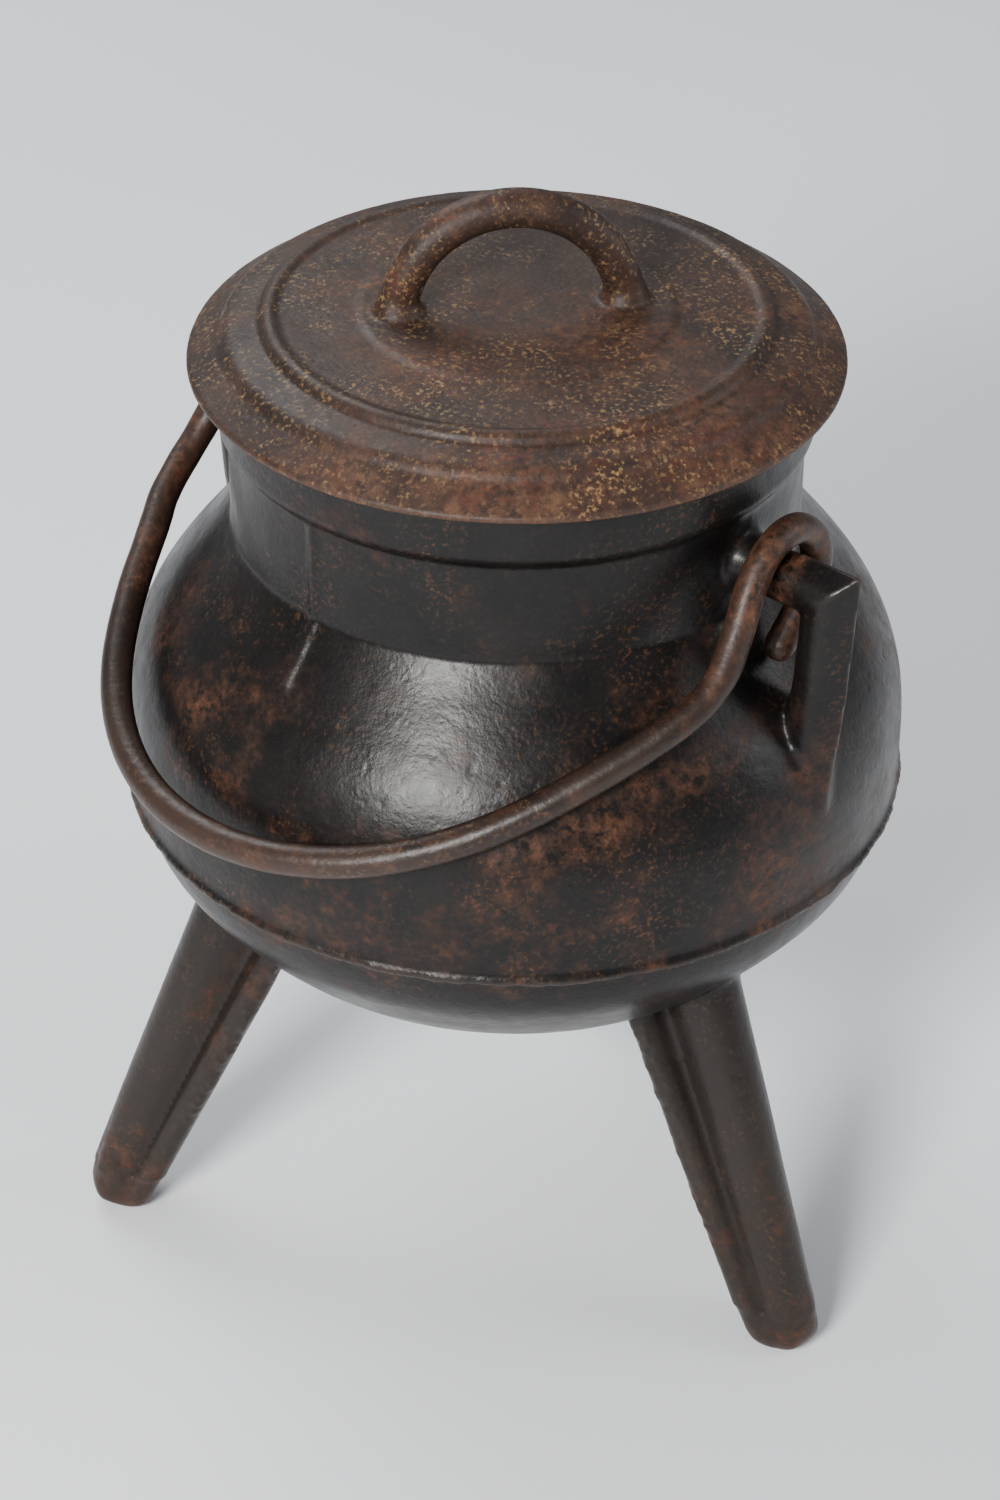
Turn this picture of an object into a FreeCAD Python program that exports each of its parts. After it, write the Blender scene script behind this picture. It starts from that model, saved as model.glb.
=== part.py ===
"""Three-legged cast-iron cauldron with a lift-off lid and a forged swinging bail handle.

Millimetres. +Z is up. The origin is where the pot's vertical axis meets the floor.
+X runs along the two ear bars that the bail turns on. The bail at rest lies on the -Y side.
"""

import math
import os

import FreeCAD
import Part

Vec = FreeCAD.Vector

# heights above the floor
BOWL_BOTTOM_Z = 125.0
SEAM_Z = 201.0
NECK_BASE_Z = 308.0
RIM_BASE_Z = 348.0
RIM_TOP_Z = 377.0
EAR_BAR_Z = 329.0

# pot wall
WALL = 4.8
SEAM_R = 147.0
SEAM_RIDGE = 1.8
BOWL_TOP_R = 145.2
NECK_BASE_R = 105.5
NECK_R = 105.0
RIM_R = 108.6
MOUTH_R = 100.0
# outer outline of the belly and of the bowl, radius and height, from bottom to top
BELLY_OUTLINE = ((147.5, 224.0), (145.4, 244.0), (137.0, 265.5), (122.2, 286.0))
BOWL_OUTLINE = ((72.0, 129.5), (112.0, 149.0), (133.5, 172.0))

# vertical mould seam, a thin fin on the neck and shoulder at each side
MOULD_SEAM_PROUD = 1.0
MOULD_SEAM_ANGLE = 1.4
MOULD_SEAM_END_Z = 288.0
MOULD_SEAM_AZIMUTHS = {"mould_seam_bail_side": -92.2, "mould_seam_far_side": 87.8}

# legs
# azimuth of each leg and the distance of its foot from the pot's axis
LEGS = {"leg_under_ear": (-7.0, 164.5), "leg_far_side": (113.0, 165.5), "leg_bail_side": (233.0, 167.5)}
LEG_LEAN = 25.5
LEG_LENGTH = 178.0
LEG_FLANGE = 12.0
# half width of the flange, half width of the rib and height of the rib, at the top and at the foot
LEG_TOP = (27.0, 13.5, 27.0)
LEG_FOOT = (15.8, 10.5, 12.5)
FOOT_WEAR = 0.8

# ears
EAR_BAR_R = 9.6
EAR_ROOT_R = 14.5
EAR_ROOT_END_X = 112.0
EAR_RIDGE_START_X = 128.5
EAR_RIDGE = 12.4
EAR_CORNER_X = 141.8
EAR_ARM_PATH = ((139.8, 292.0), (135.0, 240.0))

# lid
LID_R = 118.6
LID_EDGE_Z = 375.6
LID_EDGE = 3.2
LID_DISC_R = 56.0
LID_DISC_Z = 392.6
REGISTER_R = 98.4
REGISTER_WALL = 3.6
REGISTER_DEPTH = 11.0
HANDLE_SPAN = 81.4
HANDLE_RISE = 37.8
HANDLE_BAR_R = 7.3
HANDLE_FOOT_R = 9.6
HANDLE_AZIMUTH = 48.0
HANDLE_OFFSET = -2.0

# bail
BAIL_ROD_R = 6.0
BAIL_HALF_SPAN = 119.4
BAIL_REACH = 180.5
BAIL_POWER = 2.62
BAIL_FLARE = 8.2
BAIL_FLARE_AT = 52
BAIL_FLARE_SPREAD = 38
BAIL_LEAN = 9.0
BAIL_TILT = 117.5
EYE_PLANE_X = 121.2
EYE_R = 19.0
EYE_SAG = 3.0
EYE_SHANK = 58.0
EYE_TANGENT = 19.0
EYE_WRAP_END = 251.0
EYE_TAIL = 20.0


def spline(points, first=None, last=None):
    """A smooth edge through the points, with end directions where they are given."""
    curve = Part.BSplineCurve()
    if first is None:
        curve.interpolate(points)
    else:
        curve.interpolate(Points=points, InitialTangent=first, FinalTangent=last)
    return curve.toShape()


def chain(points):
    """Straight edges joining the points in order."""
    return [Part.LineSegment(a, b).toShape() for a, b in zip(points, points[1:])]


def meridian(pairs):
    """Radius and height pairs as points in the X-Z plane."""
    return [Vec(r, 0, z) for r, z in pairs]


def turned(edges, degrees=360.0, start=0.0):
    """The solid swept by a closed outline in the X-Z plane as it turns about the pot's axis."""
    face = Part.Face(Part.Wire(Part.__sortEdges__(edges)))
    solid = face.revolve(Vec(0, 0, 0), Vec(0, 0, 1), degrees)
    solid.rotate(Vec(0, 0, 0), Vec(0, 0, 1), start)
    return solid


def belly_edge(inset):
    """The belly's outline from the seam up to the neck, moved inwards by inset."""
    ends = ((SEAM_R - inset, SEAM_Z), (NECK_BASE_R - inset, NECK_BASE_Z))
    middle = [(r - inset * 0.94, z - inset * 0.3) for r, z in BELLY_OUTLINE]
    return spline(meridian([ends[0], *middle, ends[1]]))


def bowl_edge(inset):
    """The bowl's outline from the axis up to the seam, moved inwards by inset."""
    middle = [(r - inset * 0.6, z + inset * 0.8) for r, z in BOWL_OUTLINE]
    points = [(0, BOWL_BOTTOM_Z + inset), *middle, (BOWL_TOP_R - inset, SEAM_Z)]
    return spline(meridian(points), Vec(1, 0, 0), Vec(0.1, 0, 1))


def lower_bowl():
    """The rounded bottom half of the pot, below the horizontal casting seam."""
    rim = chain(meridian([(BOWL_TOP_R, SEAM_Z), (BOWL_TOP_R - WALL, SEAM_Z)]))
    axis = chain(meridian([(0, BOWL_BOTTOM_Z), (0, BOWL_BOTTOM_Z + WALL)]))
    return turned([bowl_edge(0), *rim, bowl_edge(WALL), *axis])


def belly_shell():
    """The upper half of the pot from the seam to the neck, with the seam's proud lip."""
    lip = meridian([
        (SEAM_R - WALL, SEAM_Z),
        (SEAM_R, SEAM_Z),
    ])
    top = meridian([(NECK_BASE_R, NECK_BASE_Z), (NECK_BASE_R - WALL, NECK_BASE_Z)])
    shell = turned([belly_edge(0), *chain(lip), belly_edge(WALL), *chain(top)])
    return shell.fuse(seam_lip()).removeSplitter()


def seam_lip():
    """The narrow ridge that stands out round the casting seam."""
    root = SEAM_R - 1.0
    tip = SEAM_R + SEAM_RIDGE
    outline = meridian([
        (root, SEAM_Z),
        (tip - 0.6, SEAM_Z),
        (tip, SEAM_Z + 1.0),
        (tip - 0.4, SEAM_Z + 2.4),
        (root, SEAM_Z + 4.5),
        (root, SEAM_Z),
    ])
    return turned(chain(outline))


def neck():
    """The straight collar between the shoulder and the rim."""
    return turned(chain(meridian([
        (MOUTH_R, NECK_BASE_Z),
        (NECK_R, NECK_BASE_Z),
        (NECK_R, RIM_BASE_Z),
        (MOUTH_R, RIM_BASE_Z),
        (MOUTH_R, NECK_BASE_Z),
    ])))


def rim():
    """The thicker rounded moulding round the mouth, with the flat seat for the lid."""
    swell = Part.Arc(Vec(NECK_R, 0, RIM_BASE_Z), Vec(RIM_R - 0.7, 0, RIM_BASE_Z + 2.6),
                     Vec(RIM_R, 0, RIM_BASE_Z + 7.0)).toShape()
    rest = chain(meridian([
        (RIM_R, RIM_BASE_Z + 7.0),
        (RIM_R, RIM_TOP_Z - 2.0),
        (RIM_R - 2.0, RIM_TOP_Z),
        (MOUTH_R, RIM_TOP_Z),
        (MOUTH_R, RIM_BASE_Z),
        (NECK_R, RIM_BASE_Z),
    ]))
    return turned([swell, *rest])


def mould_seam(azimuth):
    """The fin left where the mould's halves met, on the neck and down the shoulder."""
    start = azimuth - MOULD_SEAM_ANGLE / 2
    collar = turned(chain(meridian([
        (NECK_R, NECK_BASE_Z),
        (NECK_R + MOULD_SEAM_PROUD, NECK_BASE_Z),
        (NECK_R + MOULD_SEAM_PROUD, RIM_BASE_Z),
        (NECK_R, RIM_BASE_Z),
        (NECK_R, NECK_BASE_Z),
    ])), MOULD_SEAM_ANGLE, start)
    outside = Part.makeBox(400, 400, NECK_BASE_Z - MOULD_SEAM_END_Z,
                           Vec(-200, -200, MOULD_SEAM_END_Z))
    bottom = meridian([(SEAM_R, SEAM_Z), (SEAM_R + MOULD_SEAM_PROUD, SEAM_Z)])
    top = meridian([(NECK_BASE_R, NECK_BASE_Z), (NECK_BASE_R + MOULD_SEAM_PROUD, NECK_BASE_Z)])
    skin = turned([belly_edge(0), *chain(bottom), belly_edge(-MOULD_SEAM_PROUD), *chain(top)],
                  MOULD_SEAM_ANGLE, start)
    shoulder = skin.common(outside).cut(pot_outside())
    return Part.makeCompound([*collar.Solids, *shoulder.Solids])


def pot_outside():
    """Everything inside the pot's outer skin, as one solid, for trimming legs and ears."""
    side = chain(meridian([(BOWL_TOP_R, SEAM_Z), (SEAM_R, SEAM_Z)]))
    collar = chain(meridian([
        (NECK_BASE_R, NECK_BASE_Z),
        (NECK_R, NECK_BASE_Z),
        (NECK_R, RIM_BASE_Z),
        (0, RIM_BASE_Z),
        (0, BOWL_BOTTOM_Z),
    ]))
    return turned([bowl_edge(0), *side, belly_edge(0), *collar]).fuse(seam_lip())


def leg_section(z, half_width, rib_half, rib_height):
    """A leg's cross-section: a flange with rounded edges and a round-topped rib on its outer face."""
    face = LEG_FLANGE / 2
    edge = half_width - face
    crown_start = face + rib_height - rib_half
    upper = Part.Arc(Vec(-face, edge, z), Vec(0, half_width, z), Vec(face, edge, z)).toShape()
    crown = Part.Arc(Vec(crown_start, rib_half, z), Vec(face + rib_height, 0, z),
                     Vec(crown_start, -rib_half, z)).toShape()
    lower = Part.Arc(Vec(face, -edge, z), Vec(0, -half_width, z), Vec(-face, -edge, z)).toShape()
    return Part.Wire([
        upper,
        *chain([Vec(face, edge, z), Vec(face, rib_half, z), Vec(crown_start, rib_half, z)]),
        crown,
        *chain([Vec(crown_start, -rib_half, z), Vec(face, -rib_half, z), Vec(face, -edge, z)]),
        lower,
        *chain([Vec(-face, -edge, z), Vec(-face, edge, z)]),
    ])


def rounded_end(half_width, middle, turn):
    """A thick slab with a round lower end, centred on middle, for rounding the foot one way."""
    top = LEG_LENGTH + 10
    spread = half_width + 20
    left = Vec(0, -half_width, half_width)
    right = Vec(0, half_width, half_width)
    arc = Part.Arc(left, Vec(0, 0, 0), right).toShape()
    sides = chain([right, Vec(0, spread, top), Vec(0, -spread, top), left])
    slab = Part.Face(Part.Wire([arc, *sides])).extrude(Vec(120, 0, 0))
    slab.translate(Vec(-60, 0, 0))
    slab.rotate(Vec(0, 0, 0), Vec(0, 0, 1), turn)
    slab.translate(Vec(middle, 0, 0))
    return slab


def leg(azimuth, foot_radius):
    """A splayed leg: flange and rib tapering to a rounded foot with a small worn pad."""
    foot_half, _, foot_rib = LEG_FOOT
    depth = LEG_FLANGE + foot_rib
    middle = foot_rib / 2
    shape = Part.makeLoft([leg_section(0, *LEG_FOOT), leg_section(LEG_LENGTH, *LEG_TOP)], True, True)
    shape = shape.common(rounded_end(foot_half, 0, 0))
    shape = shape.common(rounded_end(depth / 2, middle, 90))
    shape.translate(Vec(-middle, 0, 0))
    shape.rotate(Vec(0, 0, 0), Vec(0, 1, 0), -LEG_LEAN)
    shape.translate(Vec(foot_radius, 0, -shape.optimalBoundingBox(False).ZMin - FOOT_WEAR))
    above_floor = Part.makeBox(500, 500, 400, Vec(-250, -250, 0))
    shape = shape.common(above_floor)
    shape.rotate(Vec(0, 0, 0), Vec(0, 0, 1), azimuth)
    return largest(shape.cut(pot_outside()))


def largest(shape):
    """The biggest solid of a shape."""
    return max(shape.Solids, key=lambda solid: solid.Volume)


def ear_section(x):
    """The ear's pointed section across the bar: round below, a sharp ridge on the outside."""
    half = math.acos(EAR_BAR_R / EAR_RIDGE)
    right = Vec(x, math.sin(half) * EAR_BAR_R, EAR_BAR_Z + math.cos(half) * EAR_BAR_R)
    left = Vec(x, -right.y, right.z)
    ridge = Vec(x, 0, EAR_BAR_Z + EAR_RIDGE)
    round_side = Part.Arc(left, Vec(x, 0, EAR_BAR_Z - EAR_BAR_R), right).toShape()
    return Part.Wire([round_side, *chain([right, ridge, left])])


def ear(side):
    """An ear: a bar out of the neck that turns down at a sharp corner into an arm."""
    flare = Part.Arc(Vec(90, 0, EAR_BAR_Z + EAR_ROOT_R + 5),
                     Vec(106, 0, EAR_BAR_Z + EAR_BAR_R + 1.4),
                     Vec(EAR_ROOT_END_X, 0, EAR_BAR_Z + EAR_BAR_R)).toShape()
    bar = chain([
        Vec(EAR_ROOT_END_X, 0, EAR_BAR_Z + EAR_BAR_R),
        Vec(EAR_RIDGE_START_X + 1, 0, EAR_BAR_Z + EAR_BAR_R),
        Vec(EAR_RIDGE_START_X + 1, 0, EAR_BAR_Z),
        Vec(90, 0, EAR_BAR_Z),
        Vec(90, 0, EAR_BAR_Z + EAR_ROOT_R + 5),
    ])
    root = Part.Face(Part.Wire([flare, *bar])).revolve(Vec(0, 0, EAR_BAR_Z), Vec(1, 0, 0), 360)
    path = [Vec(EAR_RIDGE_START_X, 0, EAR_BAR_Z), Vec(EAR_CORNER_X, 0, EAR_BAR_Z)]
    path += [Vec(x, 0, z) for x, z in EAR_ARM_PATH]
    section = ear_section(EAR_RIDGE_START_X)
    arm = Part.Wire(chain(path)).makePipeShell([section], True, False, 1)
    shape = largest(root.fuse(arm).cut(pot_outside()).removeSplitter())
    if side < 0:
        shape.rotate(Vec(0, 0, 0), Vec(0, 0, 1), 180)
    return shape


def lid_plate():
    """The lid: a drooping flange, a soft step, a raised bead and a flat centre disc."""
    edge = Part.Arc(Vec(LID_R - 1.2, 0, LID_EDGE_Z + 0.4), Vec(LID_R, 0, LID_EDGE_Z - 1.4),
                    Vec(LID_R - 1.0, 0, LID_EDGE_Z - LID_EDGE)).toShape()
    flange = chain(meridian([(106.8, 382.6), (LID_R - 1.2, LID_EDGE_Z + 0.4)]))
    step = spline(meridian([(106.8, 382.6), (104.6, 385.4), (101.0, 386.8)]))
    shelf = chain(meridian([(101.0, 386.8), (92.4, 388.4)]))
    bead = Part.Arc(Vec(92.4, 0, 388.4), Vec(89.2, 0, 391.9), Vec(85.4, 0, 391.0)).toShape()
    crown = chain(meridian([
        (85.4, 391.0),
        (LID_DISC_R + 1.6, 391.8),
        (LID_DISC_R, LID_DISC_Z),
        (0, LID_DISC_Z),
        (0, LID_DISC_Z - 4.4),
        (84.0, 386.4),
        (89.0, 384.6),
        (93.0, RIM_TOP_Z),
        (RIM_R - 1.0, RIM_TOP_Z),
        (LID_R - 1.0, LID_EDGE_Z - LID_EDGE),
    ]))
    return turned([edge, *flange, step, *shelf, bead, *crown])


def lid_register():
    """The ring under the lid that keeps it central in the mouth."""
    inner = REGISTER_R - REGISTER_WALL
    bottom = RIM_TOP_Z - REGISTER_DEPTH
    return turned(chain(meridian([
        (inner, bottom),
        (REGISTER_R - 0.8, bottom),
        (REGISTER_R, bottom + 1.5),
        (REGISTER_R, RIM_TOP_Z),
        (inner, RIM_TOP_Z),
        (inner, bottom),
    ])))


def lid_handle():
    """The arched handle cast on the lid, round in section with feet that spread a little."""
    half = HANDLE_SPAN / 2
    left = Vec(-half, 0, LID_DISC_Z)
    right = Vec(half, 0, LID_DISC_Z)
    arch = Part.Wire(Part.Arc(left, Vec(0, 0, LID_DISC_Z + HANDLE_RISE), right).toShape())
    start = arch.Edges[0].tangentAt(arch.Edges[0].FirstParameter)
    section = Part.Wire(Part.makeCircle(HANDLE_BAR_R, left, start))
    shape = arch.makePipeShell([section], True, True)
    for foot in (left, right):
        shape = shape.fuse(Part.makeCone(HANDLE_FOOT_R, HANDLE_BAR_R - 0.6, 7.0, foot))
    below = Part.makeBox(200, 200, 40, Vec(-100, -100, LID_DISC_Z - 40))
    shape = shape.cut(below)
    shape.translate(Vec(HANDLE_OFFSET, 0, 0))
    shape.rotate(Vec(0, 0, 0), Vec(0, 0, 1), HANDLE_AZIMUTH)
    return largest(shape.removeSplitter())


def bail_point(reach, side):
    """A point on the bail's centre line, at a distance from the hinge line, on the side of +X or -X.

    The bow is a superellipse. It flares near its ends so that it passes the lid's edge, and it
    leans a little towards -X at its top.
    """
    along = reach / BAIL_REACH
    half = BAIL_HALF_SPAN * math.sqrt(max(0, 1 - along ** BAIL_POWER))
    flare = BAIL_FLARE * math.exp(-((reach - BAIL_FLARE_AT) / BAIL_FLARE_SPREAD) ** 2)
    return Vec(side * (half + flare) - BAIL_LEAN * along ** 3, 0, reach)


def bail_half(side):
    """Points on one half of the bow, from the shank up to near the top."""
    reaches = [EYE_SHANK + (BAIL_REACH - EYE_SHANK) * math.sin(math.radians(10 * k)) for k in range(9)]
    return [bail_point(reach, side) for reach in reaches]


def bail_tangent(side):
    """The bail's direction where the rod meets a shank, away from the hinge line."""
    step = bail_point(EYE_SHANK + 1, side) - bail_point(EYE_SHANK - 1, side)
    return step.normalize()


def piped(edges, radius):
    """A round bar along the edges."""
    wire = Part.Wire(edges)
    first = wire.OrderedEdges[0]
    start = first.valueAt(first.FirstParameter)
    section = Part.Wire(Part.makeCircle(radius, start, first.tangentAt(first.FirstParameter)))
    return wire.makePipeShell([section], True, False)


def bail_rod():
    """The bail's round bar, a deep bow between the two shanks."""
    points = [*bail_half(1), bail_point(BAIL_REACH, 1), *reversed(bail_half(-1))]
    return laid_down(piped([spline(points, bail_tangent(1), bail_tangent(-1) * -1)], BAIL_ROD_R))


def bail_eye(side):
    """The bail's end: a shank that curls over the ear bar and back as a hook."""
    def on_ring(degrees):
        turn = math.radians(degrees)
        return Vec(side * EYE_PLANE_X, EYE_R * math.sin(turn), EYE_R * math.cos(turn))

    def along(degrees):
        turn = math.radians(degrees)
        return Vec(0, math.cos(turn), -math.sin(turn))

    start = 90 - EYE_TANGENT
    shank = spline([bail_point(EYE_SHANK, side), on_ring(start)],
                   bail_tangent(side) * -EYE_SHANK, along(start) * EYE_SHANK)
    ring = Part.Arc(on_ring(start), on_ring(180), on_ring(EYE_WRAP_END)).toShape()
    end = on_ring(EYE_WRAP_END)
    tip = end + along(EYE_WRAP_END) * EYE_TAIL
    tail = Part.LineSegment(end, tip).toShape()
    hook = piped([shank, ring, tail], BAIL_ROD_R)
    return laid_down(hook.fuse(Part.makeSphere(BAIL_ROD_R, tip)).removeSplitter())


def laid_down(shape):
    """Moves a piece of the upright bail to its hinge line and lays it on the belly."""
    shape.translate(Vec(0, -EYE_SAG, 0))
    shape.rotate(Vec(0, 0, 0), Vec(1, 0, 0), BAIL_TILT)
    shape.translate(Vec(0, 0, EAR_BAR_Z))
    return shape


def build():
    """Every sub-part by name."""
    parts = {
        "lower_bowl": lower_bowl(),
        "belly_shell": belly_shell(),
        "neck": neck(),
        "rim": rim(),
        "ear_right": ear(1),
        "ear_left": ear(-1),
        "lid_plate": lid_plate(),
        "lid_register": lid_register(),
        "lid_handle": lid_handle(),
        "bail_rod": bail_rod(),
        "bail_eye_right": bail_eye(1),
        "bail_eye_left": bail_eye(-1),
    }
    for name, azimuth in MOULD_SEAM_AZIMUTHS.items():
        parts[name] = mould_seam(azimuth)
    for name, (azimuth, foot_radius) in LEGS.items():
        parts[name] = leg(azimuth, foot_radius)
    return parts


def main():
    os.makedirs("parts", exist_ok=True)
    for name, shape in build().items():
        print(name, "valid", shape.isValid(), "solids", len(shape.Solids), "cm3",
              round(shape.Volume / 1000, 1))
        shape.exportStep(f"parts/{name}.step")


main()
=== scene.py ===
import math

import bmesh
import bpy
import numpy as np
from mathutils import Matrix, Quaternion, Vector


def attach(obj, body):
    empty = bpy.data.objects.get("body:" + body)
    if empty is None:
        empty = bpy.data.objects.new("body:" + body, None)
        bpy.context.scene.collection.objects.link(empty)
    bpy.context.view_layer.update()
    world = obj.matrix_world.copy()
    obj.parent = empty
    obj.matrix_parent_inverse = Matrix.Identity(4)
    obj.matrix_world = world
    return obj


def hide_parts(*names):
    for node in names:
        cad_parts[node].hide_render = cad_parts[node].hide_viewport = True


# Looks for a three-legged cast-iron cauldron with a lid and a swinging bail.
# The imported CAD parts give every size. The round ones are spun again from their own sections at a finer
# step. Then each real piece of iron gets one skin round all its parts, with a sand-cast or hammered
# finish. Lengths are in metres.

MM = 0.001

# camera
CAMERA_AT = (0.7516, -0.8958, 1.0210)
CAMERA_LOOKS_AT = (-0.0040, -0.0033, 0.1984)
CAMERA_LENS = 88.998
CAMERA_ROLL = 0.383

# Each real piece of iron: its body and material slot, the round and the other CAD nodes it stands for,
# the size of its skin's faces in mm, and how many times that skin is smoothed.
PIECES = {
    "pot_casting": {
        "body": "pot",
        "slot": "pot_iron",
        "spun": ("lower_bowl", "belly_shell", "neck", "rim"),
        "solid": (
            "ear_right",
            "ear_left",
            "leg_under_ear",
            "leg_far_side",
            "leg_bail_side",
            "mould_seam_bail_side",
            "mould_seam_far_side",
        ),
        "skin": 1.15,
        "rounds": 3,
    },
    "lid_casting": {
        "body": "lid",
        "slot": "lid_iron",
        "spun": ("lid_plate", "lid_register"),
        "solid": ("lid_handle",),
        "skin": 0.75,
        "rounds": 1,
    },
    "bail_forging": {
        "body": "bail",
        "slot": "bail_iron",
        "spun": (),
        "solid": ("bail_rod", "bail_eye_right", "bail_eye_left"),
        "skin": 0.8,
        "rounds": 7,
    },
}
SPIN_STEPS = 540
SECTION_STEP = 1.0 * MM
SECTION_AZIMUTH = 11.3  # clear of the mesh's own meridians
SNAP = 0.4 * MM

# where things are on the pot
HINGE_Z = 329 * MM
SEAM_Z = 201 * MM
SEAM_INNER_R = 144 * MM
LEG_AZIMUTHS = (-7, 113, 233)
LEG_HALF_SPACE = 34 * MM
FOOT_TOP_Z = 20 * MM
SHIN_Z = 40 * MM
LEG_ROOT_Z = (118 * MM, 192 * MM)
EAR_HALF_SPACE = 26 * MM
ARM_ROOT_Z = (228 * MM, 268 * MM)
ARM_ROOT_R = 125 * MM
BAR_ROOT_Z = (305 * MM, 350 * MM)
BAR_ROOT_R = (100 * MM, 114 * MM)
HANDLE_ROOT_Z = (391 * MM, 402 * MM)
HANDLE_ROOT_R = (24 * MM, 54 * MM)

# rounds of softening
FOOT_ROUNDS = 45
ARM_ROOT_ROUNDS = 22
BAR_ROOT_ROUNDS = 14
LEG_ROOT_ROUNDS = 8
HANDLE_ROOT_ROUNDS = 3
SOFTEN_SHARE = 0.6

# surface relief: depths and heights, and the size of the lumps
CAST_BROAD, CAST_BROAD_CELL = 0.16 * MM, 34 * MM
CAST_FINE, CAST_FINE_CELL = 0.05 * MM, 5 * MM
CAST_PIT, CAST_PIT_CELL, CAST_PIT_FROM = 0.5 * MM, 3.2 * MM, 0.62
FIN_HEIGHT, FIN_HALF_WIDTH = 1.1 * MM, 1.9 * MM
FIN_CELLS = (13 * MM, 4 * MM)
FORGED_FLAT, FORGED_FLAT_CELL = 0.32 * MM, 11 * MM
FORGED_GRAIN, FORGED_GRAIN_CELL = 0.04 * MM, 2.6 * MM
FLASH_HEIGHT = 0.8 * MM
FLASH_CELLS = (4 * MM, 1.8 * MM)


# ---------------------------------------------------------------- meshes


def value_noise(points, cell, seed):
    """Smooth noise from -1 to 1, with lumps about one cell across."""
    scaled = points / cell
    base = np.floor(scaled).astype(np.int64)
    part = scaled - base
    part = part * part * (3 - 2 * part)
    total = np.zeros(len(points))
    for corner in np.ndindex(2, 2, 2):
        at = base + np.array(corner)
        key = at[:, 0] * 73856093 ^ at[:, 1] * 19349663 ^ at[:, 2] * 83492791 ^ (seed * 83761)
        key = ((key ^ (key >> 13)) * 1274126177) & 0x7FFFFFFF
        value = ((key ^ (key >> 16)) & 0xFFFF) / 32767.5 - 1
        weight = np.prod(np.where(np.array(corner) == 1, part, 1 - part), axis=1)
        total += value * weight
    return total


def half_section(node):
    """A round part's outline as (radius, height) points, in order, and whether it closes on itself."""
    mesh = bmesh.new()
    mesh.from_mesh(node.data)
    bmesh.ops.remove_doubles(mesh, verts=mesh.verts, dist=1e-6)
    exact = np.array([(math.hypot(v.co.x, v.co.y), v.co.z) for v in mesh.verts])
    turn = math.radians(SECTION_AZIMUTH)
    along = Vector((math.cos(turn), math.sin(turn), 0))
    across = Vector((-math.sin(turn), math.cos(turn), 0))
    everything = mesh.verts[:] + mesh.edges[:] + mesh.faces[:]
    cut = bmesh.ops.bisect_plane(mesh, geom=everything, plane_co=(0, 0, 0), plane_no=across)
    edges = [e for e in cut["geom_cut"] if isinstance(e, bmesh.types.BMEdge)]
    neighbours = {}
    for e in edges:
        a, b = e.verts
        neighbours.setdefault(a, []).append(b)
        neighbours.setdefault(b, []).append(a)
    start = max(neighbours, key=lambda v: v.co.dot(along))
    loop, before = [start], None
    while True:
        after = [v for v in neighbours[loop[-1]] if v is not before and v is not loop[-1]]
        if not after or after[0] is start:
            break
        before = loop[-1]
        loop.append(after[0])
    points = np.array([(v.co.dot(along), v.co.z) for v in loop])
    mesh.free()
    closed = points[:, 0].min() > 1e-4
    if not closed:
        outside = points[:, 0] > 1e-5
        first = next(i for i in range(len(points)) if outside[i] and not outside[i - 1])
        points = np.roll(points, -first, axis=0)
        points = points[points[:, 0] > 1e-5]
    snapped = []
    for p in points:
        gap = np.hypot(*(exact - p).T)
        near = exact[gap.argmin()]
        if gap.min() < SNAP and (not snapped or np.hypot(*(near - snapped[-1])) > 1e-5):
            snapped.append(near)
    if not closed:
        snapped = [(0.0, snapped[0][1]), *snapped, (0.0, snapped[-1][1])]
    return np.array(snapped), closed


def even_steps(outline, closed, step):
    """The outline at an even step, with its corners just softened."""
    if closed:
        outline = np.vstack([outline, outline[:1]])
    lengths = np.hypot(*np.diff(outline, axis=0).T)
    along = np.concatenate([[0], np.cumsum(lengths)])
    count = 2 * int(along[-1] / step)
    at = np.linspace(0, along[-1], count + 1)
    points = np.column_stack([np.interp(at, along, outline[:, k]) for k in (0, 1)])
    if closed:
        points = points[:-1]
    if closed:
        points = (np.roll(points, 1, 0) + 2 * points + np.roll(points, -1, 0)) / 4
    else:
        points[1:-1] = (points[:-2] + 2 * points[1:-1] + points[2:]) / 4
    return points[::2]


def section_of(node):
    """A round part's even outline, and whether it closes on itself."""
    outline, closed = half_section(node)
    return even_steps(outline, closed, SECTION_STEP), closed


def spin(name, outline, closed):
    """A round mesh from an outline."""
    angles = np.linspace(0, 2 * math.pi, SPIN_STEPS, endpoint=False)
    radius, height = outline[:, 0][:, None], outline[:, 1][:, None]
    rings = np.stack(
        [radius * np.cos(angles), radius * np.sin(angles), height + 0 * angles], axis=-1
    )
    rows = len(outline)
    vertices = rings.reshape(-1, 3)
    row = np.arange(rows if closed else rows - 1)[:, None]
    col = np.arange(SPIN_STEPS)[None, :]
    next_row = (row + 1) % rows
    next_col = (col + 1) % SPIN_STEPS
    corners = [
        row * SPIN_STEPS + col,
        row * SPIN_STEPS + next_col,
        next_row * SPIN_STEPS + next_col,
        next_row * SPIN_STEPS + col,
    ]
    faces = np.stack([np.broadcast_to(c, (len(row), SPIN_STEPS)) for c in corners], axis=-1)
    mesh = bpy.data.meshes.new(name)
    mesh.from_pydata(vertices.tolist(), [], faces.reshape(-1, 4).tolist())
    tidy = bmesh.new()
    tidy.from_mesh(mesh)
    bmesh.ops.remove_doubles(tidy, verts=tidy.verts, dist=1e-6)
    bmesh.ops.recalc_face_normals(tidy, faces=tidy.faces)
    tidy.to_mesh(mesh)
    tidy.free()
    return mesh


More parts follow.
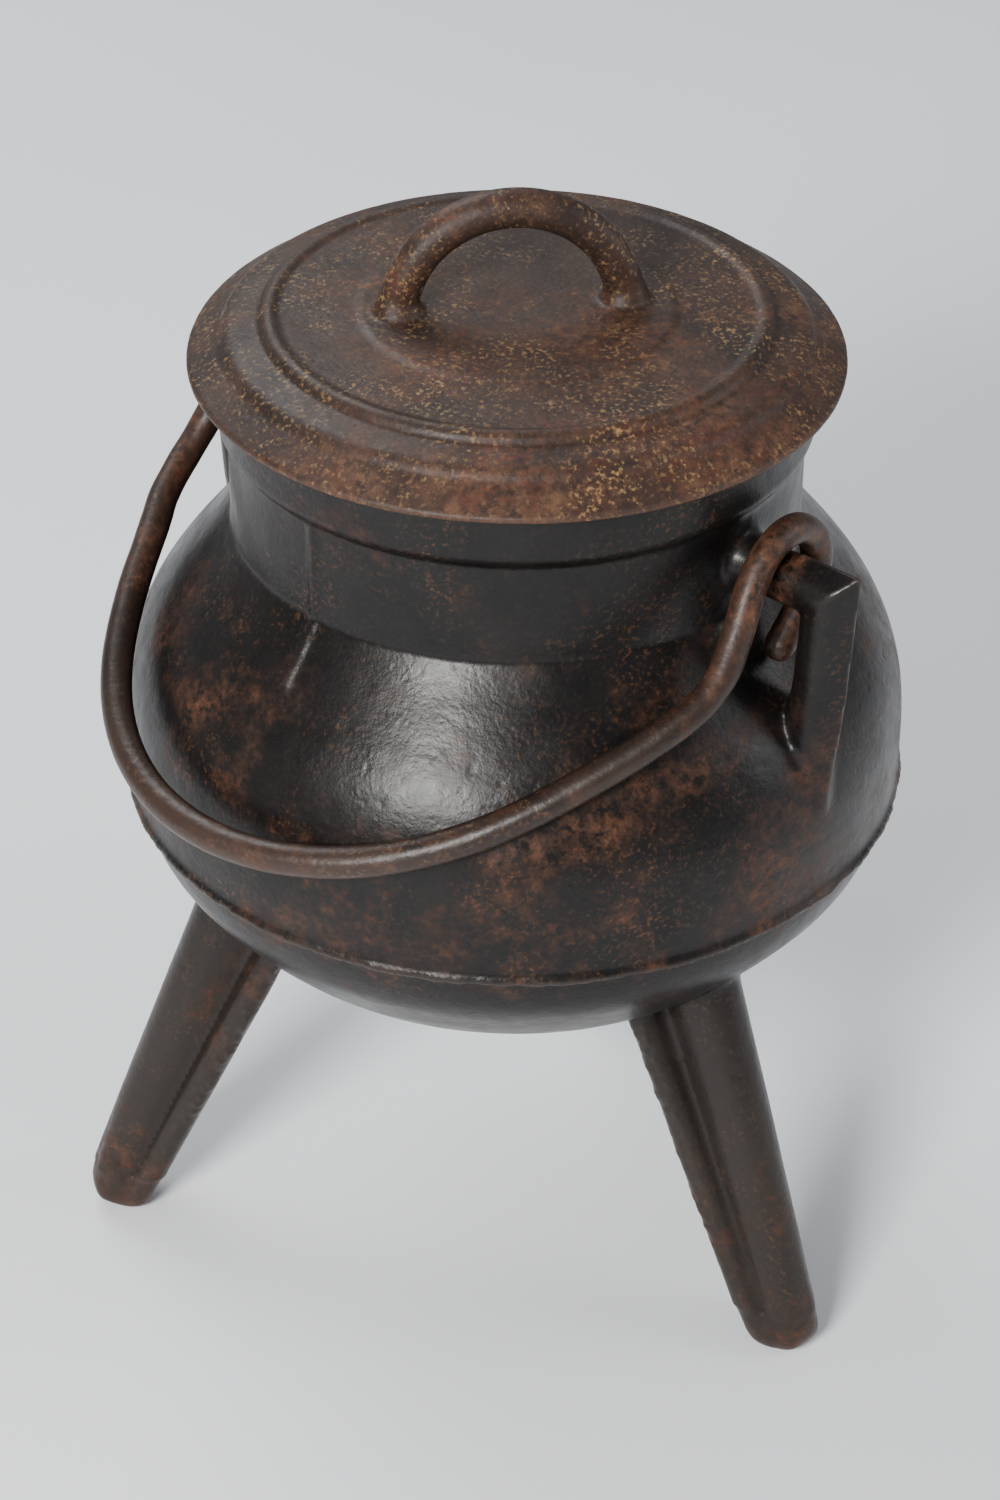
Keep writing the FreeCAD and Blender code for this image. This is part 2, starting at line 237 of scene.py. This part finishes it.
def joined(name, meshes):
    """Several closed meshes as one object, still overlapping."""
    work = bmesh.new()
    for mesh in meshes:
        work.from_mesh(mesh)
    mesh = bpy.data.meshes.new(name)
    work.to_mesh(mesh)
    work.free()
    made = bpy.data.objects.new(name, mesh)
    bpy.context.scene.collection.objects.link(made)
    return made


def one_skin(name, meshes, size, rounds):
    """One even outer skin round all the meshes, so that a casting has no joints in it."""
    rough = joined(name + "_rough", meshes)
    remesh = rough.modifiers.new("even", "REMESH")
    remesh.mode = "VOXEL"
    remesh.voxel_size = size
    smooth = rough.modifiers.new("smooth", "SMOOTH")
    smooth.factor = 0.5
    smooth.iterations = rounds
    depsgraph = bpy.context.evaluated_depsgraph_get()
    mesh = bpy.data.meshes.new_from_object(rough.evaluated_get(depsgraph))
    mesh.name = name
    bpy.data.objects.remove(rough)
    return mesh


def soften(mesh, points, chosen, rounds):
    """Rounds off the chosen part of a mesh, as a fillet or a worn end is rounded."""
    edges = np.zeros(len(mesh.edges) * 2, np.int32)
    mesh.edges.foreach_get("vertices", edges)
    edges = edges.reshape(-1, 2)
    edges = edges[chosen[edges[:, 0]] | chosen[edges[:, 1]]]
    ends = np.concatenate([edges[:, 0], edges[:, 1]])
    others = np.concatenate([edges[:, 1], edges[:, 0]])
    picked = np.flatnonzero(chosen)
    place = np.full(len(points), -1)
    place[picked] = np.arange(len(picked))
    keep = place[ends] >= 0
    ends, others = place[ends[keep]], others[keep]
    count = np.maximum(np.bincount(ends, minlength=len(picked)), 1)
    for _ in range(rounds):
        mean = np.column_stack(
            [np.bincount(ends, points[others, k], minlength=len(picked)) for k in range(3)]
        ) / count[:, None]
        points[picked] += SOFTEN_SHARE * (mean - points[picked])


def inside(values, limits):
    """Which values lie between the two limits."""
    return (values > limits[0]) & (values < limits[1])


def soften_pot(mesh, points):
    """Worn feet, and fillets where the ears and legs grow out of the pot."""
    x, y, z = points.T
    radius = np.hypot(x, y)
    soften(mesh, points, z < FOOT_TOP_Z, FOOT_ROUNDS)
    shins = z < SHIN_Z
    bottom = points[:, 2].min()
    points[shins, 2] -= bottom * (SHIN_Z - points[shins, 2]) / (SHIN_Z - bottom)
    near_ear = np.abs(y) < EAR_HALF_SPACE
    arm_root = near_ear & inside(z, ARM_ROOT_Z) & (radius > ARM_ROOT_R)
    soften(mesh, points, arm_root, ARM_ROOT_ROUNDS)
    bar_root = near_ear & inside(z, BAR_ROOT_Z) & inside(radius, BAR_ROOT_R)
    soften(mesh, points, bar_root, BAR_ROOT_ROUNDS)
    soften(mesh, points, inside(z, LEG_ROOT_Z), LEG_ROOT_ROUNDS)


def soften_lid(mesh, points):
    """Fillets at the handle's two feet."""
    radius = np.hypot(points[:, 0], points[:, 1])
    root = inside(points[:, 2], HANDLE_ROOT_Z) & inside(radius, HANDLE_ROOT_R)
    soften(mesh, points, root, HANDLE_ROOT_ROUNDS)


def vertex_arrays(mesh):
    """The mesh's points and normals."""
    count = len(mesh.vertices)
    points = np.zeros(count * 3, np.float32)
    mesh.vertices.foreach_get("co", points)
    normals = np.zeros(count * 3, np.float32)
    mesh.vertex_normals.foreach_get("vector", normals)
    return points.reshape(-1, 3).astype(float), normals.reshape(-1, 3).astype(float)


def sand_cast(points, seed):
    """How far a sand casting's skin sits below its pattern."""
    broad = CAST_BROAD * (1 + value_noise(points, CAST_BROAD_CELL, seed))
    fine = CAST_FINE * (1 + value_noise(points, CAST_FINE_CELL, seed + 1))
    pits = np.clip(value_noise(points, CAST_PIT_CELL, seed + 2) - CAST_PIT_FROM, 0, 1) * CAST_PIT
    return broad + fine + pits


def proud_seam(points):
    """The ragged fin along the seam between bowl and belly. Negative values stand proud."""
    radius = np.hypot(points[:, 0], points[:, 1])
    near = np.exp(-(((points[:, 2] - SEAM_Z) / FIN_HALF_WIDTH) ** 2)) * (radius > SEAM_INNER_R)
    broad, fine = (value_noise(points, cell, seed) for cell, seed in zip(FIN_CELLS, (5, 6)))
    ragged = 0.55 + 0.5 * broad + 0.45 * fine
    return -near * np.clip(ragged, 0, 1.5) * FIN_HEIGHT


def forged(points, seed):
    """Hammer flats on a forged rod, deepest near its ends."""
    from_hinge = np.hypot(points[:, 1], points[:, 2] - HINGE_Z)
    ends = np.clip(1.3 - from_hinge / (110 * MM), 0.25, 1)
    flats = FORGED_FLAT * (1 + value_noise(points, FORGED_FLAT_CELL, seed))
    return ends * flats + FORGED_GRAIN * (1 + value_noise(points, FORGED_GRAIN_CELL, seed + 1))


def leg_flash(points, normals, seed):
    """Ragged parting flash along the edges of the legs. Negative values stand proud."""
    depth = np.zeros(len(points))
    height = points[:, 2]
    radius = np.hypot(points[:, 0], points[:, 1])
    legs = (height < 150 * MM) & (radius > 92 * MM)
    fade = np.clip((height - 24 * MM) / (40 * MM), 0, 1)
    broad, fine = (value_noise(points, cell, seed + n) for n, cell in enumerate(FLASH_CELLS))
    ragged = np.clip(0.3 + broad + 0.6 * fine, 0, 2)
    for azimuth in LEG_AZIMUTHS:
        turn = math.radians(azimuth)
        side = np.array([-math.sin(turn), math.cos(turn), 0])
        outwards = np.array([math.cos(turn), math.sin(turn), 0])
        sideways = points @ side
        mine = legs & (points @ outwards > 60 * MM) & (np.abs(sideways) < LEG_HALF_SPACE)
        edge = np.abs(sideways) > 12.5 * MM + 0.058 * height
        facing = edge * np.clip((normals @ side) * np.sign(sideways) - 0.55, 0, 0.45) / 0.45
        depth -= mine * facing * fade * ragged * FLASH_HEIGHT
    return depth


def depth_of(name, points, normals, seed):
    """Depth below the smooth shape at each point."""
    if name == "bail_forging":
        return forged(points, seed)
    depth = sand_cast(points, seed)
    if name == "pot_casting":
        depth = depth + leg_flash(points, normals, seed) + proud_seam(points)
    return depth


def put_back(mesh, points):
    """Moves the mesh's vertices to these points."""
    mesh.vertices.foreach_set("co", points.astype(np.float32).ravel())
    mesh.update()


def make_piece(name, plan, nodes, material, seed):
    """Builds one piece of iron, gives it its material and fastens it to its body."""
    meshes = [spin(n, *section_of(nodes[n])) for n in plan["spun"]]
    meshes += [nodes[n].data for n in plan["solid"]]
    mesh = one_skin(name, meshes, plan["skin"] * MM, plan["rounds"])
    points, _ = vertex_arrays(mesh)
    if name == "pot_casting":
        soften_pot(mesh, points)
    if name == "lid_casting":
        soften_lid(mesh, points)
    put_back(mesh, points)
    points, normals = vertex_arrays(mesh)
    points -= normals * depth_of(name, points, normals, seed)[:, None]
    points[:, 2] = np.maximum(points[:, 2], 0)
    mesh.polygons.foreach_set("use_smooth", [True] * len(mesh.polygons))
    put_back(mesh, points)
    mesh.materials.clear()
    mesh.materials.append(material)
    piece = bpy.data.objects.new(name, mesh)
    bpy.context.scene.collection.objects.link(piece)
    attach(piece, plan["body"])
    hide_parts(*plan["spun"], *plan["solid"])


# ---------------------------------------------------------------- materials

# places of the Mix node's sockets when it mixes colours
MIX_SHARE, MIX_A, MIX_B, MIX_RESULT = 0, 6, 7, 2


def add(tree, kind, values=None, **settings):
    """A shader node with its settings and inputs; an input may be a number, a colour or a socket."""
    made = tree.nodes.new("ShaderNode" + kind)
    for key, value in settings.items():
        setattr(made, key, value)
    for key, value in (values or {}).items():
        if isinstance(value, bpy.types.NodeSocket):
            tree.links.new(value, made.inputs[key])
        else:
            made.inputs[key].default_value = value
    return made


def noise(tree, place, cell, detail, roughness, seed):
    """Noise whose lumps are about one cell across."""
    values = {"Vector": place, "W": seed, "Scale": 1 / cell, "Detail": detail, "Roughness": roughness}
    return add(tree, "TexNoise", values, noise_dimensions="4D").outputs["Fac"]


def between(tree, value, low, high, to_low=0.0, to_high=1.0):
    """The value stretched from low..high to to_low..to_high."""
    values = {"Value": value, "From Min": low, "From Max": high, "To Min": to_low, "To Max": to_high}
    return add(tree, "MapRange", values).outputs["Result"]


def maths(tree, operation, a, b):
    """The result of one sum on two numbers or sockets."""
    return add(tree, "Math", {0: a, 1: b}, operation=operation).outputs[0]


def mix(tree, share, a, b):
    """Colour a where share is 0, b where it is 1."""
    values = {MIX_SHARE: share, MIX_A: a, MIX_B: b}
    return add(tree, "Mix", values, data_type="RGBA").outputs[MIX_RESULT]


def bare_skin(tree, place, look):
    """The skin's colour without rust, changing towards another tone lower down."""
    seed = look["seed"]
    tone = between(tree, noise(tree, place, 26 * MM, 8, 0.62, seed), 0.36, 0.66)
    skin = mix(tree, tone, look["dark"], look["skin"])
    height = add(tree, "SeparateXYZ", {"Vector": place}).outputs["Z"]
    low = between(tree, height, *look["low_skin_heights"])
    return mix(tree, low, skin, look["low_skin"])


def rust_share(tree, place, look):
    """How rusty each point is: cloudy patches broken up by a fine grain."""
    seed = look["seed"]
    cloud = noise(tree, place, 46 * MM, 10, 0.66, seed + 3)
    cloud = maths(tree, "ADD", cloud, extra_rust(tree, place, look))
    patches = between(tree, cloud, look["rust_from"], look["rust_from"] + 0.13)
    grain = between(tree, noise(tree, place, 4.0 * MM, 5, 0.7, seed + 5), 0.38, 0.60)
    return maths(tree, "MULTIPLY", patches, grain)


def with_rust(tree, place, look, colour, rusty):
    """The colour with two tones of rust over it."""
    tone = between(tree, noise(tree, place, 9 * MM, 6, 0.6, look["seed"] + 7), 0.38, 0.64)
    rust = mix(tree, tone, look["rust_deep"], look["rust"])
    return mix(tree, rusty, colour, rust)


def with_specks(tree, place, look, colour):
    """The colour with pale specks over it, thickest in a few places."""
    seed = look["seed"]
    thick = between(tree, noise(tree, place, 30 * MM, 6, 0.66, seed + 9), 0.47, 0.66)
    specks = between(tree, noise(tree, place, 1.7 * MM, 4, 0.66, seed + 11), 0.53, 0.64)
    specks = maths(tree, "MULTIPLY", specks, maths(tree, "ADD", thick, 0.10))
    specks = maths(tree, "MULTIPLY", specks, look["speck_amount"])
    return mix(tree, specks, colour, look["speck"])


def with_wear_and_painted_light(tree, look, colour):
    """The colour with grime and painted shade in the hollows, and bare iron with a painted highlight on
    the edges.
    """
    bend = add(tree, "NewGeometry").outputs["Pointiness"]
    # Painted shade, partly dirt: the hollows are darkened towards the grime colour.
    hollow_shade = maths(tree, "MULTIPLY", between(tree, bend, 0.492, 0.45), 0.75)
    colour = mix(tree, hollow_shade, colour, look["grime_and_shade"])
    # Painted highlight, partly real wear: the sharp edges are lightened towards bare iron.
    edge = maths(tree, "MULTIPLY", between(tree, bend, 0.512, 0.57), look["edge_wear_and_highlight"])
    return mix(tree, edge, colour, look["bare_and_highlight"])


def gloss_of(tree, place, look, rusty):
    """The shader's roughness: uneven, and duller where it is rusty."""
    cloud = noise(tree, place, 12 * MM, 6, 0.6, look["seed"] + 13)
    gloss = between(tree, cloud, 0.3, 0.7, *look["gloss"])
    return maths(tree, "ADD", gloss, maths(tree, "MULTIPLY", rusty, look["rust_dull"]))


def bumped(tree, strength, distance, height, under=None):
    """A normal with this relief on it, laid over the one under it."""
    values = {"Strength": strength, "Distance": distance, "Height": height}
    if under is not None:
        values["Normal"] = under
    return add(tree, "Bump", values).outputs["Normal"]


def fine_relief(tree, place, look):
    """Relief too fine for the mesh: lumps, a pebbly grain and pits."""
    seed = look["seed"]
    lumps = noise(tree, place, 8 * MM, 4, 0.55, seed + 17)
    pebble = noise(tree, place, 1.9 * MM, 4, 0.62, seed + 15)
    cells = add(tree, "TexVoronoi", {"Vector": place, "Scale": 1 / (4.2 * MM)}).outputs["Distance"]
    pits = between(tree, cells, 0.05, 0.3)
    coarse = bumped(tree, look["lumps"], 0.5 * MM, lumps)
    fine = bumped(tree, look["grain"], 0.22 * MM, pebble, coarse)
    return bumped(tree, look["pits"], 0.2 * MM, pits, fine)


def iron(name, look):
    """Old iron: a dark skin, rust in patches and specks, and a pitted surface."""
    material = bpy.data.materials.new(name)
    material.use_nodes = True
    tree = material.node_tree
    shader = tree.nodes["Principled BSDF"]
    place = add(tree, "TexCoord").outputs["Object"]
    rusty = rust_share(tree, place, look)
    colour = with_rust(tree, place, look, bare_skin(tree, place, look), rusty)
    colour = with_specks(tree, place, look, colour)
    # Dirt and painted shade in the hollows, worn iron and a painted highlight on the edges.
    colour = with_wear_and_painted_light(tree, look, colour)
    tree.links.new(colour, shader.inputs["Base Color"])
    tree.links.new(gloss_of(tree, place, look, rusty), shader.inputs["Roughness"])
    tree.links.new(fine_relief(tree, place, look), shader.inputs["Normal"])
    shader.inputs["Metallic"].default_value = look["metal"]
    shader.inputs["Specular IOR Level"].default_value = look["shine"]
    return material


def extra_rust(tree, place, look):
    """Where rust gathers, added to the cloud that makes the patches."""
    if look["gathers"] == "hinge":
        return hinge_rust(tree, place)
    if look["gathers"] == "belly":
        return pot_rust(tree, place)
    return 0.0


def hinge_rust(tree, place):
    """More rust where the bail rubs on the ears' bars."""
    split = add(tree, "SeparateXYZ", {"Vector": place})
    flat = add(tree, "CombineXYZ", {"Y": split.outputs["Y"], "Z": split.outputs["Z"]}).outputs[0]
    reach = {0: flat, 1: (0, 0, HINGE_Z)}
    gap = add(tree, "VectorMath", reach, operation="DISTANCE").outputs["Value"]
    return between(tree, gap, 34 * MM, 12 * MM, 0.0, 0.22)


def pot_rust(tree, place):
    """More rust on the ears' bars and the feet, and less on the neck and the bowl."""
    split = add(tree, "SeparateXYZ", {"Vector": place})
    height = split.outputs["Z"]
    sideways = maths(tree, "ABSOLUTE", split.outputs["X"], 0.0)
    neck = between(tree, height, 312 * MM, 296 * MM, -0.10, 0.0)
    bowl = between(tree, height, 214 * MM, 190 * MM, 0.0, -0.05)
    feet = between(tree, height, 100 * MM, 6 * MM, 0.0, 0.17)
    bar = between(tree, sideways, 112 * MM, 120 * MM, 0.0, 0.16)
    corner = between(tree, sideways, 129 * MM, 136 * MM, 0.0, -0.20)
    high = between(tree, height, 306 * MM, 318 * MM, 0.0, 1.0)
    ears = maths(tree, "MULTIPLY", maths(tree, "ADD", bar, corner), high)
    return maths(tree, "ADD", maths(tree, "ADD", neck, ears), maths(tree, "ADD", bowl, feet))


def rgb(*screen):
    """A colour from 0-255 screen values, as the linear colour a shader takes."""
    shares = [value / 255 for value in screen]
    linear = [c / 12.92 if c < 11 / 255 else ((c + 0.055) / 1.055) ** 2.4 for c in shares]
    return (*linear, 1)


# How each iron looks. Heights are where the low skin begins and where it is complete, gloss is the least
# and the greatest roughness, and lumps, grain and pits are how strong each relief is.
# The hollows' colour is dirt and painted shade, and the edges' colour is worn iron and a painted
# highlight.
LOOKS = {
    "pot_iron": {
        "seed": 1.0,
        "dark": rgb(9, 8, 8),
        "skin": rgb(20, 17, 16),
        "low_skin": rgb(38, 33, 30),
        "low_skin_heights": (190 * MM, 90 * MM),
        "rust_deep": rgb(34, 21, 16),
        "rust": rgb(76, 47, 31),
        "rust_from": 0.475,
        "speck": rgb(112, 76, 48),
        "speck_amount": 0.3,
        "grime_and_shade": rgb(12, 10, 9),
        "bare_and_highlight": rgb(74, 64, 58),
        "edge_wear_and_highlight": 0.45,
        "gloss": (0.27, 0.40),
        "rust_dull": 0.18,
        "metal": 0.0,
        "shine": 0.24,
        "lumps": 0.4,
        "grain": 0.65,
        "pits": 0.15,
        "gathers": "belly",
    },
    "lid_iron": {
        "seed": 7.0,
        "dark": rgb(32, 23, 20),
        "skin": rgb(52, 38, 32),
        "low_skin": rgb(44, 34, 29),
        "low_skin_heights": (374 * MM, 366 * MM),
        "rust_deep": rgb(68, 36, 26),
        "rust": rgb(86, 61, 44),
        "rust_from": 0.47,
        "speck": rgb(136, 107, 70),
        "speck_amount": 0.9,
        "grime_and_shade": rgb(22, 17, 15),
        "bare_and_highlight": rgb(90, 69, 56),
        "edge_wear_and_highlight": 0.6,
        "gloss": (0.42, 0.55),
        "rust_dull": 0.10,
        "metal": 0.0,
        "shine": 0.24,
        "lumps": 0.4,
        "grain": 0.85,
        "pits": 0.3,
        "gathers": "nowhere",
    },
    "bail_iron": {
        "seed": 11.0,
        "dark": rgb(26, 18, 15),
        "skin": rgb(44, 31, 25),
        "low_skin": rgb(54, 39, 31),
        "low_skin_heights": (262 * MM, 236 * MM),
        "rust_deep": rgb(50, 30, 22),
        "rust": rgb(90, 57, 38),
        "rust_from": 0.50,
        "speck": rgb(106, 77, 53),
        "speck_amount": 0.5,
        "grime_and_shade": rgb(22, 17, 15),
        "bare_and_highlight": rgb(80, 62, 51),
        "edge_wear_and_highlight": 0.4,
        "gloss": (0.32, 0.46),
        "rust_dull": 0.12,
        "metal": 0.0,
        "shine": 0.32,
        "lumps": 0.45,
        "grain": 0.7,
        "pits": 0.25,
        "gathers": "hinge",
    },
}


# ---------------------------------------------------------------- surroundings

FLOOR_SIZE = 9.0
FLOOR_CELLS = 60
LIT_POINT = (0, 0, 0.25)


def paper():
    """The matt pale ground."""
    material = bpy.data.materials.new("pale_ground")
    material.use_nodes = True
    tree = material.node_tree
    place = add(tree, "TexCoord").outputs["Object"]
    tone = between(tree, noise(tree, place, 0.9, 3, 0.5, 21.0), 0.3, 0.7)
    colour = mix(tree, tone, rgb(222, 224, 227), rgb(230, 232, 235))
    shader = tree.nodes["Principled BSDF"]
    tree.links.new(colour, shader.inputs["Base Color"])
    shader.inputs["Roughness"].default_value = 0.9
    shader.inputs["Specular IOR Level"].default_value = 0.15
    return material


def ground():
    """A wide pale floor."""
    mesh = bpy.data.meshes.new("ground")
    work = bmesh.new()
    bmesh.ops.create_grid(
        work, x_segments=FLOOR_CELLS, y_segments=FLOOR_CELLS, size=FLOOR_SIZE / 2
    )
    work.to_mesh(mesh)
    work.free()
    floor = bpy.data.objects.new("ground", mesh)
    bpy.context.scene.collection.objects.link(floor)
    mesh.materials.append(paper())


def soft_light(name, at, size, power, colour):
    """A rectangular light aimed at the pot."""
    data = bpy.data.lights.new(name, "AREA")
    data.shape = "RECTANGLE"
    data.size, data.size_y = size
    data.energy = power
    data.color = colour
    lamp = bpy.data.objects.new(name, data)
    lamp.location = at
    lamp.rotation_mode = "QUATERNION"
    lamp.rotation_quaternion = (Vector(LIT_POINT) - Vector(at)).to_track_quat("-Z", "Y")
    bpy.context.scene.collection.objects.link(lamp)


def from_angle(azimuth, elevation, distance):
    """A place seen from the lit point at that azimuth from +X and elevation, in degrees."""
    a, e = math.radians(azimuth), math.radians(elevation)
    away = Vector((math.cos(a) * math.cos(e), math.sin(a) * math.cos(e), math.sin(e)))
    return Vector(LIT_POINT) + away * distance


def lights():
    """A window, a high light on the left, a pale wall on the right, and the room's own light."""
    soft_light("window", from_angle(-76, 30, 2.3), (0.66, 0.50), 92, (1.0, 0.99, 0.97))
    soft_light("left_high", (-1.5, 0.5, 1.9), (1.3, 1.0), 34, (0.98, 0.99, 1.0))
    soft_light("right_wall", from_angle(35, 22, 2.6), (1.0, 1.8), 26, (0.97, 0.98, 1.0))
    world = bpy.data.worlds.new("room")
    bpy.context.scene.world = world
    world.use_nodes = True
    background = world.node_tree.nodes["Background"]
    background.inputs["Color"].default_value = (0.80, 0.82, 0.85, 1)
    background.inputs["Strength"].default_value = 0.50


def camera():
    """The camera, turned by a small roll."""
    data = bpy.data.cameras.new("camera")
    data.lens = CAMERA_LENS
    seen_from = bpy.data.objects.new("camera", data)
    seen_from.location = CAMERA_AT
    seen_from.rotation_mode = "QUATERNION"
    aim = (Vector(CAMERA_LOOKS_AT) - Vector(CAMERA_AT)).to_track_quat("-Z", "Y")
    seen_from.rotation_quaternion = aim @ Quaternion((0, 0, 1), math.radians(CAMERA_ROLL))
    bpy.context.scene.collection.objects.link(seen_from)
    bpy.context.scene.camera = seen_from


# ---------------------------------------------------------------- the scene

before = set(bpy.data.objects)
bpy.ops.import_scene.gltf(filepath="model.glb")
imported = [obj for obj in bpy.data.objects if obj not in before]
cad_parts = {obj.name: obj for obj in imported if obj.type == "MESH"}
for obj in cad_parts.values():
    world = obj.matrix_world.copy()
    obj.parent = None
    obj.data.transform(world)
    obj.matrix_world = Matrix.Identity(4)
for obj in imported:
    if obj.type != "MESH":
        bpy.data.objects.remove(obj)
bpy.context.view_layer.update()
materials = {name: iron(name, look) for name, look in LOOKS.items()}

for number, (piece_name, plan) in enumerate(PIECES.items()):
    material = materials[plan["slot"]]
    make_piece(piece_name, plan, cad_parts, material, seed=20 + 7 * number)

ground()
lights()
camera()
